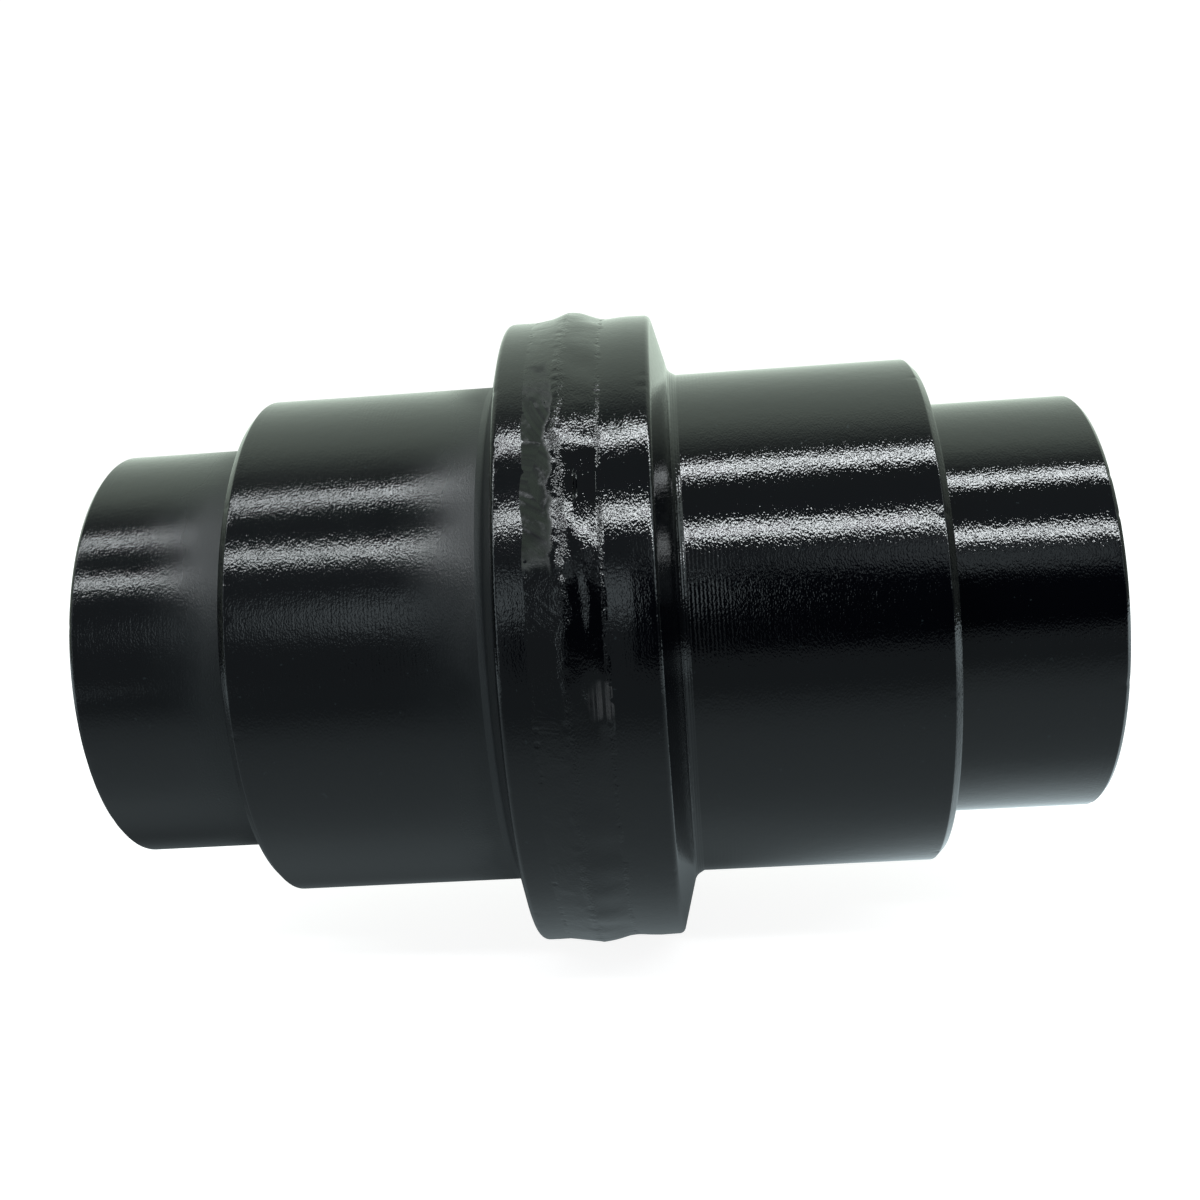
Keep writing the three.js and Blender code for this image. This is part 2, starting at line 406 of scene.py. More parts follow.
def off_axis(tree, at):
    """How far a point is from the roller's axis."""
    return vectors(tree, "LENGTH", vectors(tree, "MULTIPLY", at, (1, 0, 1)), result="Value")


def turned_line(tree, at):
    """A measure that is the same all along a turned line. It grows from the flange's crest over the tread
    to the end face."""
    return maths(tree, "SUBTRACT", maths(tree, "ABSOLUTE", axes(tree, at)["Y"]), off_axis(tree, at))


def new_material(name):
    material = bpy.data.materials.new(name)
    material.use_nodes = True
    return material, material.node_tree, material.node_tree.nodes["Principled BSDF"]


def wire(tree, shader, colour, roughness, height):
    """Joins a material's colour, its roughness and its relief, in metres, to its shader."""
    bump = put(tree, "Bump", {"Height": height, "Distance": 1.0, "Strength": 1.0})
    tree.links.new(colour, shader.inputs["Base Color"])
    tree.links.new(roughness, shader.inputs["Roughness"])
    tree.links.new(bump.outputs[0], shader.inputs["Normal"])


def spray_grain(tree, at):
    """The fine grain of the spray, a little finer along the axis than round it."""
    return noise(tree, vectors(tree, "MULTIPLY", at, (1, 1.6, 1)), GRAIN_SCALE, 1)


def enamel(name, gloss, lines, dry=None):
    """Gloss black enamel with a fine orange peel over turned steel. gloss is the least and the most
    roughness. lines gives the middle and the half width, along the axis, of the band where the lathe's
    lines show most, and their height there. dry gives the heights where the paint is still wet-looking
    and where it has gone dry and dusty beside the flange or the body, out of the spray gun's reach."""
    material, tree, shader = new_material(name)
    line_middle, line_half, line_height = lines
    at = position(tree)
    y = axes(tree, at)["Y"]
    radius = off_axis(tree, at)
    ring = turned_line(tree, at)
    grain = spray_grain(tree, at)
    peel = noise(tree, at, PEEL_SCALE)
    patches = noise(tree, at, 60, 3)
    feed = maths(tree, "SINE", plus(tree, peel, ring, FULL_TURN / TOOL_FEED))
    feed = times(tree, feed, patches)
    band = ramp(tree, off(tree, y, line_middle), line_half, line_half / 2, smooth_step=True)
    band = times(tree, band, ramp(tree, radius, TREAD_R + 3 * MM, TREAD_R + 1 * MM))
    height = times(tree, grain, GRAIN_HEIGHT)
    height = plus(tree, height, peel, PEEL_HEIGHT)
    height = plus(tree, height, ring_noise(tree, ring, TURNING_SCALE), TURNING_HEIGHT)
    height = plus(tree, height, feed, ramp(tree, band, 0, 1, FAINT_FEED, line_height))
    above_foot = ramp(tree, radius, TREAD_R + 1 * MM, TREAD_R + 3 * MM)
    below_crest = ramp(tree, radius, FLANGE_R - 0.8 * MM, FLANGE_R - 1.8 * MM)
    roughness = ramp(tree, patches, 0.3, 0.7, *gloss)
    roughness = plus(tree, roughness, times(tree, above_foot, below_crest), FLANK_ROUGHNESS)
    specks = ramp(tree, noise(tree, at, 900), 0.72, 0.76, 0, 0.8)
    dust = plus(tree, specks, patches, 0.02)
    if dry:
        wobble = ramp(tree, patches, 0.3, 0.7, -2.5 * MM, 2.5 * MM)
        dryness = ramp(tree, maths(tree, "ADD", y, wobble), *dry)
        below_rim = ramp(tree, radius, FLANGE_R - 0.5 * MM, FLANGE_R - 2 * MM)
        dryness = times(tree, times(tree, dryness, dryness), below_rim)
        roughness = plus(tree, roughness, dryness, DRY_ROUGHNESS)
        height = plus(tree, height, times(tree, grain, dryness), DRY_GRAIN_HEIGHT)
        dust = plus(tree, dust, dryness, 0.25)
    wire(tree, shader, blend_colour(tree, dust, BLACK, DUST), roughness, height)
    return material


def grinding_arc(tree, at):
    """How far a point is from the middle that its stroke of the grinder curves round. The surface falls
    into cells a good centimetre across, each with a middle of its own."""
    cells = put(tree, "TexVoronoi", {"Vector": at, "Scale": 70}).outputs
    reach = 40 * MM
    aside = vectors(tree, "SUBTRACT", cells["Color"], (0.5, 0.5, 0.5))
    middle = vectors(tree, "MULTIPLY_ADD", aside, (reach, reach, reach), cells["Position"])
    return vectors(tree, "DISTANCE", at, middle, result="Value")


def ground_dab(tree, turn, y, patches):
    """The streaked patch where the grinder has touched the bead once more, with a ragged edge."""
    around = times(tree, off(tree, turn, DAB_TURN), FLANGE_R / DAB_HALF_LENGTH)
    across = times(tree, off(tree, y, DAB_Y), 1 / DAB_HALF_WIDTH)
    away = plus(tree, maths(tree, "MAXIMUM", around, across), patches, 2.4)
    streaks = ramp(tree, ring_noise(tree, y, 1500), 0.42, 0.58, 0.2, 1)
    return times(tree, ramp(tree, away, 2.3, 1.8), streaks)


def weld_enamel():
    """Enamel over the dressed weld. The grinder has left a matt strip with curved strokes, which comes
    and goes twice round the rim, and one matt patch beside it. What is left of the bead is glossy, and
    rough along its ridge and its right toe."""
    material, tree, shader = new_material("weld_enamel")
    at = position(tree)
    parts = axes(tree, at)
    y = parts["Y"]
    turn = maths(tree, "ARCTAN2", parts["Z"], parts["X"])
    grain = spray_grain(tree, at)
    peel = noise(tree, at, PEEL_SCALE)
    patches = noise(tree, at, 130, 3, 0.6)
    arc = grinding_arc(tree, at)
    scratches = ring_noise(tree, arc, 700)
    strokes = ring_noise(tree, arc, 1300, 3)
    strokes = times(tree, strokes, ramp(tree, noise(tree, at, 190, 1), 0.42, 0.6, smooth_step=True))
    edge = plus(tree, y, patches, 5 * MM)
    strip = ramp(tree, edge, -0.8 * MM, -1.9 * MM, smooth_step=True)
    passes = maths(tree, "SINE", maths(tree, "MULTIPLY_ADD", turn, 2, math.radians(8)))
    matt = ramp(tree, plus(tree, passes, patches, 0.5), 0.92, 1.18, smooth_step=True)
    mottle = plus(tree, noise(tree, at, 230, 4, 0.65), scratches, 0.5)
    mottle = ramp(tree, mottle, 0.56, 0.7, 0.3, 1)
    ground = times(tree, times(tree, strip, matt), mottle)
    dab = ground_dab(tree, turn, y, patches)
    on_ridge = ramp(tree, off(tree, edge, 0.4 * MM), 1.1 * MM, 0.2 * MM, smooth_step=True)
    on_toe = ramp(tree, off(tree, y, WELD_RIGHT - 0.4 * MM), 0.6 * MM, 0.15 * MM, smooth_step=True)
    coarse = maths(tree, "MAXIMUM", on_ridge, on_toe)
    height = times(tree, grain, WELD_GRAIN_HEIGHT)
    height = plus(tree, height, peel, WELD_PEEL_HEIGHT)
    height = plus(tree, height, times(tree, strokes, strip), STROKE_HEIGHT)
    height = plus(tree, height, times(tree, grain, coarse), COARSE_HEIGHT)
    roughness = ramp(tree, patches, 0.42, 0.68, 0.04, 0.1)
    roughness = plus(tree, roughness, maths(tree, "MAXIMUM", ground, dab), GROUND_ROUGHNESS)
    scratched = times(tree, ground, ramp(tree, scratches, 0.3, 0.6))
    colour = blend_colour(tree, scratched, WELD_BLACK, WELD_SCRATCHED)
    colour = blend_colour(tree, dab, colour, WELD_DABBED)
    wire(tree, shader, colour, roughness, height)
    return material


def metal(name, light, dark, smoothest, lines, stain=0.3):
    """Bare turned or ground metal: rings of tool marks, lines high, and a few stains. smoothest is its
    least roughness."""
    material, tree, shader = new_material(name)
    shader.inputs["Metallic"].default_value = 1.0
    at = position(tree)
    marks = ring_noise(tree, turned_line(tree, at), 3000, 4)
    stains = noise(tree, at, 90, 4, 0.6)
    colour = blend_colour(tree, ramp(tree, stains, 0.4, 0.75, 0, stain), light, dark)
    roughness = ramp(tree, stains, 0.3, 0.8, smoothest, smoothest + 0.2)
    wire(tree, shader, colour, roughness, times(tree, marks, lines))
    return material


def rubber():
    """Moulded nitrile rubber, with a bloom of grey."""
    material, tree, shader = new_material("nitrile")
    at = position(tree)
    bloom = noise(tree, at, 150, 4, 0.6)
    colour = blend_colour(tree, ramp(tree, bloom, 0.4, 0.8), (0.012, 0.012, 0.012), (0.035, 0.035, 0.037))
    roughness = ramp(tree, bloom, 0.3, 0.7, 0.45, 0.65)
    wire(tree, shader, colour, roughness, times(tree, noise(tree, at, 1500), 0.02 * MM))
    return material


ENAMEL = enamel("enamel", (0.04, 0.07), (20 * MM, 7 * MM, 0.02 * MM))
ENAMEL_HALF_LEFT = enamel(
    "enamel_half_left", (0.08, 0.12), (-36 * MM, 10 * MM, 0.007 * MM), dry=(-36 * MM, -19 * MM)
)
ENAMEL_COLLAR_LEFT = enamel(
    "enamel_collar_left", (0.08, 0.12), (-80 * MM, 6 * MM, 0.004 * MM), dry=(-86 * MM, -69 * MM)
)
WELD = weld_enamel()
STEEL = metal("ground_steel", (0.56, 0.57, 0.58), (0.3, 0.29, 0.27), 0.22, 0.004 * MM)
THREAD = metal("oiled_steel", (0.34, 0.34, 0.34), (0.12, 0.1, 0.08), 0.3, 0.004 * MM, 0.8)
BRONZE = metal("bearing_bronze", (0.72, 0.47, 0.2), (0.36, 0.22, 0.1), 0.28, 0.006 * MM)
IRON = metal("lapped_iron", (0.36, 0.36, 0.37), (0.16, 0.15, 0.15), 0.26, 0.003 * MM)
RUBBER = rubber()


# ---- Pieces ----

GAP = 0.3 * MM  # the clearance between a bush and its seat
PAST = 1 * MM  # how far a cutter reaches past the face that it cuts into
THROUGH = 40 * MM  # half the length of a cutter that goes right through the shaft
STRAIGHT = 500 * MM  # a pitch so long that waves hardly change along the axis
SHARP_ANGLE = math.radians(28)


def finish_piece(obj, body, node, slot, *materials):
    """Gives a piece its materials and its body, smooths its shading and hides the CAD node that it stands
    for. slot is not used.
    """
    for material in materials:
        if material.name not in obj.data.materials:
            obj.data.materials.append(material)
    obj.data.shade_smooth()
    obj.data.set_sharp_from_angle(angle=SHARP_ANGLE)
    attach(obj, body)
    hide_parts(node)


def roller_half(side, sign, toe, sunk, material):
    """One forged half: half the flange, a tread, and the bores behind it. It is drawn at +Y, and the left
    one is mirrored. toe is where its rim meets the weld, and sunk is how far the rim falls there."""
    joint = 0.15 * MM
    mouth = SEAL_PLANE - POCKET_LIP
    pocket = SEAL_PLANE - POCKET_FLOOR
    seat = BUSH_START + BUSH_FLANGE + GAP
    bevel = 1.5 * MM
    corners = [
        (CAVITY_R, joint),
        (FLANGE_R - 10 * MM, joint),
        (FLANGE_R - 10 * MM, 1.8 * MM),
        (FLANGE_R - bevel, toe - 1.8 * MM),
        (FLANGE_R - sunk, toe - 0.9 * MM, 0.3 * MM),
        (FLANGE_R, toe + 4.2 * MM, 8 * MM),
        (FLANGE_R - CREST_DROP, CREST_HALF, 1.2 * MM),
        (TREAD_R + 0.9 * MM, FOOT_HALF, 2.0 * MM),
        (TREAD_R, FOOT_END, 0.15 * MM),
        (TREAD_R, BODY_END - bevel, 0.4 * MM),
        (TREAD_R - bevel, BODY_END, 0.3 * MM),
        (COLLAR_R + LABYRINTH, BODY_END, 0.4 * MM),
        (COLLAR_R + LABYRINTH, mouth),
        (POCKET_LIP_R, mouth, 0.3 * MM),
        (POCKET_FLOOR_R, pocket, 0.8 * MM),
        (SEAT_R, pocket, 0.3 * MM),
        (SEAT_R, seat, 0.3 * MM),
        (CAVITY_R, seat, 0.5 * MM),
    ]
    points = outline(corners, 0.9 * MM)
    forged = waves(11 + sign, (2, 9), 30 * MM)
    rim_heights = (BODY_END - 1.8 * MM, BODY_END)
    rim = dents(21 + sign, 16, rim_heights, (0.3 * MM, 0.7 * MM), (0.04 * MM, 0.16 * MM))
    crest_heights = (CREST_HALF - 1.2 * MM, CREST_HALF)
    crest = dents(31 + sign, 26, crest_heights, (0.3 * MM, 0.9 * MM), (0.02 * MM, 0.09 * MM))

    def relief(angle, r, y):
        flank = step(TREAD_R - 0.5 * MM, TREAD_R + 3 * MM, r) * step(toe + 0.3 * MM, toe + 2.5 * MM, y)
        outside = step(COLLAR_R + 4 * MM, COLLAR_R + 6 * MM, r)
        dented = rim(angle, r, y) + crest(angle, r, y)
        return outside * (dented + flank * forged(angle, r, y) * 0.05 * MM)

    obj = revolve(f"roller_half_{side}_shell", points, 640, relief)
    if sign < 0:
        obj.data.transform(Matrix.Scale(-1, 4, (0, 1, 0)))
        obj.data.flip_normals()
    finish_piece(obj, "roller", f"roller_half_{side}", "black_paint", material)


def weld():
    """The weld that joins the halves. A grinder has taken its left side down to a slanting strip. The
    rest is what is left of the bead, with low humps and hollows, and pinholes along both toes."""
    overlap = 0.5 * MM
    root = FLANGE_R - 9.7 * MM
    root_half = 1.5 * MM
    heights = np.linspace(WELD_LEFT - overlap, WELD_RIGHT + overlap, 62)
    face = np.stack([np.full_like(heights, FLANGE_R), heights], 1)
    points = np.concatenate([face, np.array([[root, root_half], [root, -root_half]])])
    slow = waves(1, (3, 9), STRAIGHT)
    lumps = waves(2, (20, 50), 10 * MM)
    ripples = waves(3, (90, 190), 4 * MM)
    left_wander = waves(4, (6, 60), STRAIGHT)
    right_wander = waves(5, (6, 60), STRAIGHT)
    pit_sizes = ((0.18 * MM, 0.36 * MM), (0.04 * MM, 0.22 * MM))
    left_pits = dents(6, 90, (WELD_LEFT, WELD_LEFT + 0.5 * MM), *pit_sizes)
    right_pits = dents(7, 170, (WELD_RIGHT - 0.6 * MM, WELD_RIGHT), *pit_sizes)
    shapes = humps(WELD_SHAPES)

    def relief(angle, r, y):
        place = (angle, r, y)
        left = WELD_LEFT + left_wander(*place) * 0.08 * MM
        right = WELD_RIGHT + right_wander(*place) * 0.1 * MM
        towards_front = np.cos(angle - math.radians(15))
        ridge = (-2.2 - 0.5 * towards_front + 0.25 * slow(*place)) * MM
        height = (0.95 - 0.3 * towards_front + 0.12 * slow(*place)) * MM
        rise = np.clip((y - left) / (ridge - left), 0, 1)
        fall = np.clip((y - ridge) / (right - ridge), 0, 1)
        # Past the ridge the bead falls to a groove along its right toe, narrowest on the upper front.
        groove = 0.35 + 0.35 * np.clip(np.cos(angle - math.radians(50)), 0, 1)
        left_over = 0.28 * height
        proud = height * rise * (1 - 0.72 * step(0, 0.8, fall))
        proud = proud - (left_over + 0.2 * MM) * step(groove, 1, fall)
        bead = step(ridge - 1.5 * MM, ridge + 1 * MM, y)
        crest = np.exp(-(((y - ridge) / (0.6 * MM)) ** 2))
        proud = proud + 0.035 * MM * lumps(*place) * (0.3 + 0.7 * bead)
        proud = proud + 0.006 * MM * ripples(*place) * (0.3 + 3 * crest)
        proud = proud + shapes(*place) + left_pits(*place) + right_pits(*place)
        # Outside its toes the weld goes under the rims that it joins, and its root stays as it is drawn.
        inside = step(left - 0.4 * MM, left, y) * (1 - step(right, right + 0.4 * MM, y))
        beneath = np.where(y > ridge, -0.24 * MM, -0.045 * MM)
        proud = proud * inside + beneath * (1 - inside)
        return np.where(r > FLANGE_R - 1 * MM, proud, 0)

    obj = revolve("weld_shell", points, 1500, relief, radial=True)
    finish_piece(obj, "roller", "weld_bead", "painted_weld", WELD)


def cutter_mesh(name, co, faces, material):
    mesh = bpy.data.meshes.new(name)
    mesh.from_pydata(co, [], faces)
    work = bmesh.new()
    work.from_mesh(mesh)
    bmesh.ops.recalc_face_normals(work, faces=work.faces)
    work.to_mesh(mesh)
    work.free()
    mesh.materials.append(material)
    return add_object(name, mesh)


def threaded_cutter(name, start, end, z):
    """A rod with a thread, to cut a tapped hole from y = start to y = end at the height z."""
    segments = 32
    rows_a_turn = 8
    rows = math.ceil((end - start) / THREAD_PITCH * rows_a_turn) + 1
    depth = 0.54 * THREAD_PITCH
    y = np.linspace(start, end, rows)[None, :]
    angle = (np.arange(segments) * FULL_TURN / segments)[:, None]
    tooth = np.abs(((y / THREAD_PITCH - angle / FULL_TURN) % 1) * 2 - 1)
    r = THREAD_R - depth * np.clip(tooth * 1.25, 0, 1)
    co = np.stack([r * np.cos(angle), np.broadcast_to(y, r.shape), z + r * np.sin(angle)], 2)
    index = np.arange(segments * rows).reshape(segments, rows)
    ahead = np.roll(index, -1, 0)
    quads = np.stack([index[:, :-1], index[:, 1:], ahead[:, 1:], ahead[:, :-1]], 2).reshape(-1, 4)
    caps = [index[:, 0].tolist(), index[::-1, -1].tolist()]
    return cutter_mesh(name, co.reshape(-1, 3).tolist(), quads.tolist() + caps, THREAD)


def cone_cutter(name, radii, start, end, material, z=0, segments=48):
    """A cone or a cylinder along Y to cut with, from y = start to y = end at the height z."""
    angle = np.arange(segments) * FULL_TURN / segments
    ends = [
        np.stack([r * np.cos(angle), np.full(segments, y), z + r * np.sin(angle)], 1)
        for r, y in zip(radii, (start, end))
    ]
    index = np.arange(segments)
    ahead = np.roll(index, -1)
    quads = np.stack([index, ahead, ahead + segments, index + segments], 1).tolist()
    caps = [index[::-1].tolist(), (index + segments).tolist()]
    return cutter_mesh(name, np.concatenate(ends).tolist(), quads + caps, material)


def cross_cutter(name, radius, start, end, y, z, material, segments=48):
    """A cylinder along X to cut with, from x = start to x = end."""
    obj = cone_cutter(name, (radius, radius), start, end, material, segments=segments)
    obj.data.transform(Matrix.Rotation(math.radians(-90), 4, "Z"))
    obj.data.transform(Matrix.Translation((0, y, z)))
    return obj


def collar(side, sign, material):
    """The fixed collar at one end: turned all over, with two tapped holes in its face and a hole for its
    pin."""
    pocket = SEAL_PLANE + POCKET_FLOOR
    bevel = 0.8 * MM
    corners = [
        (COLLAR_R, COLLAR_START, 0.3 * MM),
        (COLLAR_R, COLLAR_END - bevel, 0.3 * MM),
        (COLLAR_R - bevel, COLLAR_END, 0.3 * MM),
        (BUSH_BORE_R + bevel, COLLAR_END, 0.2 * MM),
        (BUSH_BORE_R, COLLAR_END - bevel, 0.2 * MM),
        (BUSH_BORE_R, pocket, 0.3 * MM),
        (POCKET_FLOOR_R, pocket, 0.8 * MM),
        (POCKET_LIP_R, COLLAR_START, 0.3 * MM),
    ]
    points = outline(corners, 1.2 * MM)
    rim_heights = (COLLAR_END - 1 * MM, COLLAR_END)
    rim = dents(41 + sign, 16, rim_heights, (0.4 * MM, 1.0 * MM), (0.04 * MM, 0.2 * MM))

    def relief(angle, r, y):
        return rim(angle, r, y) * step(COLLAR_R - 3 * MM, COLLAR_R - 2 * MM, r)

    obj = revolve(f"collar_{side}_shell", points, 360, relief)
    obj.data.materials.append(material)
    mouth = (5.0 * MM, 7.4 * MM)
    past_face = COLLAR_END + PAST
    cutters = []
    for k, z in enumerate((-BOLT_CIRCLE_R, BOLT_CIRCLE_R)):
        cutters.append(threaded_cutter(f"thread_{k}", COLLAR_END - THREAD_DEPTH, past_face, z))
        cutters.append(cone_cutter(f"mouth_{k}", mouth, COLLAR_END - 1.4 * MM, past_face, THREAD, z))
    outside = -COLLAR_R - 5 * MM
    cutters.append(cross_cutter("pin_hole", PIN_HOLE_R, outside, PIN_HOLE_END, PIN_Y, -PIN_Z, STEEL))
    carve(obj, cutters)
    if sign < 0:
        turn_end_for_end(obj)
    finish_piece(obj, "axle", f"collar_{side}", "black_paint", material)


def shaft():
    """The fixed shaft: ground where it carries the bushes, with its ends painted over with the rest."""
    bevel = 1 * MM
    half = [
        (THRUST_R, THRUST_HALF, 0.4 * MM),
        (SHAFT_R, THRUST_HALF, 0.4 * MM),
        (SHAFT_R, GROOVE_START, 0.1 * MM),
        (GROOVE_R, GROOVE_START, 0.3 * MM),
        (GROOVE_R, GROOVE_END, 0.3 * MM),
        (SHAFT_R, GROOVE_END, 0.1 * MM),
        (SHAFT_R, SHAFT_END - bevel, 0.2 * MM),
        (SHAFT_R - bevel, SHAFT_END, 0.2 * MM),
        (0, SHAFT_END),
    ]
    other = [(r, -y, *radius) for r, y, *radius in reversed(half)]
    obj = on_axis("shaft_body", outline(other + half, 3 * MM), 192)
    obj.data.materials.append(STEEL)
    left = -SHAFT_END
    plug_hole = (PLUG_HOLE_R, PLUG_HOLE_R)
    oil_way = (OIL_WAY_R, OIL_WAY_R)
    centre = (0.1 * MM, 4.4 * MM)
    carve(obj, [
        cone_cutter("plug_hole", plug_hole, left - 2 * MM, left + PLUG_HOLE_DEPTH, STEEL),
        cone_cutter("oil_way", oil_way, left + 9 * MM, CROSS_HOLE_R, STEEL, segments=24),
        cross_cutter("oil_cross", CROSS_HOLE_R, -THRUST_R - 2 * MM, THRUST_R + 2 * MM, 0, 0, STEEL, 24),
        cone_cutter("centre", centre, SHAFT_END - 6.9 * MM, SHAFT_END + 0.7 * MM, STEEL),
        cross_cutter("pin_right", PIN_HOLE_R, -THROUGH, THROUGH, PIN_Y, -PIN_Z, STEEL),
        cross_cutter("pin_left", PIN_HOLE_R, -THROUGH, THROUGH, -PIN_Y, PIN_Z, STEEL),
    ])
    obj.data.materials.append(ENAMEL)
    painted = len(obj.data.materials) - 1
    for polygon in obj.data.polygons:
        if abs(polygon.center.y) > SHAFT_END - 1.2 * MM:
            polygon.material_index = painted
    finish_piece(obj, "axle", "shaft", "shaft_steel")


def oil_plug():
    """A hexagon-socket plug, sunk in the left end of the shaft and painted over."""
    low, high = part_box("oil_plug")
    corners = [
        (0, low.y),
        (PLUG_R, low.y, 0.5 * MM),
        (PLUG_R, high.y, 0.5 * MM),
        (0, high.y),
    ]
    obj = on_axis("oil_plug_body", outline(corners, 2 * MM), 64)
    obj.data.materials.append(ENAMEL)
    key_r = KEY_HALF / math.cos(math.radians(30))
    lead_in = (4.2 * MM, 3.0 * MM)
    carve(obj, [
        cone_cutter("key", (key_r, key_r), low.y - PAST, low.y + 5 * MM, ENAMEL, segments=6),
        cone_cutter("lead", lead_in, low.y - 0.5 * MM, low.y + 0.7 * MM, ENAMEL),
    ])
    finish_piece(obj, "axle", "oil_plug", "plug_steel", ENAMEL)


def lock_pin(side):
    """A ground dowel with rounded ends."""
    low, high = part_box(f"lock_pin_{side}")
    length = high.x - low.x
    corners = [
        (0, 0),
        (PIN_R, 0, 0.8 * MM),
        (PIN_R, length, 0.8 * MM),
        (0, length),
    ]
    obj = on_axis(f"lock_pin_{side}_body", outline(corners, 4 * MM), 64)
    obj.data.transform(Matrix.Rotation(math.radians(-90), 4, "Z"))
    middle = (low + high) / 2
    obj.data.transform(Matrix.Translation((low.x, middle.y, middle.z)))
    finish_piece(obj, "axle", f"lock_pin_{side}", "pin_steel", STEEL)


def bush(side, sign):
    """A flanged bronze bush, with three oil grooves along its bore."""
    flange_end = BUSH_START + BUSH_FLANGE
    corners = [
        (BUSH_BORE_R, BUSH_START, 0.5 * MM),
        (BUSH_FLANGE_R, BUSH_START, 0.3 * MM),
        (BUSH_FLANGE_R, flange_end, 0.3 * MM),
        (BUSH_R, flange_end, 0.2 * MM),
        (BUSH_R, BUSH_END, 0.5 * MM),
        (BUSH_BORE_R, BUSH_END, 0.4 * MM),
    ]
    points = outline(corners, 1.5 * MM)
    count = 3

    def grooves(angle, r, y):
        away = np.abs((angle * count / FULL_TURN) % 1 - 0.5) / count * FULL_TURN * r
        deep = 1 - step(0.6 * MM, 1.4 * MM, away)
        stop = 1 - step(BUSH_END - 6 * MM, BUSH_END - 4 * MM, y)
        return np.where(r < BUSH_BORE_R + 0.2 * MM, -OIL_GROOVE * deep * stop, 0)

    obj = revolve(f"bush_{side}_body", points, 180, grooves)
    if sign < 0:
        turn_end_for_end(obj)
    finish_piece(obj, "roller", f"bush_{side}", "bronze", BRONZE)


def seal_ring(owner, body, side, sign, facing):
    """One metal ring of a face seal. facing is the way its back looks from the seal plane, along the
    axis. Its corners are given in mm: the radius, the distance from the seal plane, and the corner's own
    radius."""
    section = [
        (20.5, 8.75, 0.4),
        (23.2, 8.75, 0.5),
        (24.6, 3.15, 0.9),
        (28.6, 2.35, 0.4),
        (28.6, 0.15, 0.3),
        (22.5, 0.15, 0.1),
        (20.5, 0.95, 0.3),
    ]
    corners = [(r * MM, SEAL_PLANE + facing * away * MM, radius * MM) for r, away, radius in section]
    obj = revolve(f"seal_ring_{owner}_{side}_body", outline(corners, 1.5 * MM), 144)
    if sign < 0:
        turn_end_for_end(obj)
    finish_piece(obj, body, f"seal_ring_{owner}_{side}", "seal_iron", IRON)


def rubber_ring(name, body, node):
    """A rubber ring of round section, filling its CAD node's box."""
    low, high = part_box(node)
    section = (high.y - low.y) / 2
    middle = high.z - section
    turn = np.arange(24) * FULL_TURN / 24
    points = np.stack([middle + section * np.cos(turn), (low.y + high.y) / 2 + section * np.sin(turn)], 1)
    obj = revolve(name, points, 144)
    finish_piece(obj, body, node, "seal_rubber", RUBBER)


# Each end's name and sign, where its rim meets the weld and how far it falls there, and its two paints
ENDS = (
    ("left", -1, -WELD_LEFT, 0.02 * MM, ENAMEL_HALF_LEFT, ENAMEL_COLLAR_LEFT),
    ("right", 1, WELD_RIGHT, 0.26 * MM, ENAMEL, ENAMEL),
)
for side, sign, toe, sunk, half_enamel, collar_enamel in ENDS:
    roller_half(side, sign, toe, sunk, half_enamel)
    collar(side, sign, collar_enamel)
    bush(side, sign)
    lock_pin(side)
    seal_ring("roller", "roller", side, sign, -1)
    seal_ring("collar", "axle", side, sign, 1)
    rubber_ring(f"toric_roller_{side}_body", "roller", f"toric_roller_{side}")
    rubber_ring(f"toric_collar_{side}_body", "axle", f"toric_collar_{side}")
    rubber_ring(f"o_ring_{side}_body", "axle", f"shaft_o_ring_{side}")
weld()
shaft()
oil_plug()


# ---- Studio ----

VIEW_ELEVATION = math.radians(12)
VIEW_YAW = math.radians(-3.72)
VIEW_ROLL = math.radians(3.39)
VIEW_DISTANCE = 293.6 * MM
VIEW_OFFSET = (0.3 * MM, -5.5 * MM)  # how far right of and above the view's middle the roller's centre is
FOCAL_MM = 42.87

STRIPS = (("upper_strip", 81.6, -6.5), ("lower_strip", 51.4, 4))  # elevation and turn, in degrees
STRIP_REACH = 1.2
STRIP_SPLIT = -0.145  # where the dimmer left half of a strip meets the right half
STRIP_DISTANCE = 1.2
STRIP_WIDTH = 0.085
STRIP_COLOUR = (0.93, 0.98, 1.0)
LEFT_GLOW = 12.5
RIGHT_GLOW = 21.8

# The small windows: elevation, azimuth, reach and core in degrees, and glow
WINDOWS = ((24, -9, 11, 3, 1.1), (36, 15, 9, 4, 0.5))
BACKDROP_GLOW = 1.1
FLOOR_GLOW = 0.9
FLOOR_RADIUS = 0.75
FLOOR_Z = -CROWN_R - 0.2 * MM
WHITE = (1, 1, 1)


def camera():
    """A close camera on the +X side, with the right end of the roller turned a little nearer and the
    picture tilted."""
    towards = Vector((math.cos(VIEW_ELEVATION), 0, math.sin(VIEW_ELEVATION)))
    up = Vector((-math.sin(VIEW_ELEVATION), 0, math.cos(VIEW_ELEVATION)))
    along = Vector((0, 1, 0))
    across = along * math.cos(VIEW_YAW) + towards * math.sin(VIEW_YAW)
    back = towards * math.cos(VIEW_YAW) - along * math.sin(VIEW_YAW)
    right = across * math.cos(VIEW_ROLL) - up * math.sin(VIEW_ROLL)
    top = across * math.sin(VIEW_ROLL) + up * math.cos(VIEW_ROLL)
    spot = back * VIEW_DISTANCE - right * VIEW_OFFSET[0] - top * VIEW_OFFSET[1]
    data = bpy.data.cameras.new("camera")
    data.lens = FOCAL_MM
    data.clip_start = 0.01
    data.clip_end = 50
    obj = add_object("camera", data)
    obj.matrix_world = Matrix.Translation(spot) @ Matrix((right, top, back)).transposed().to_4x4()
    bpy.context.scene.camera = obj


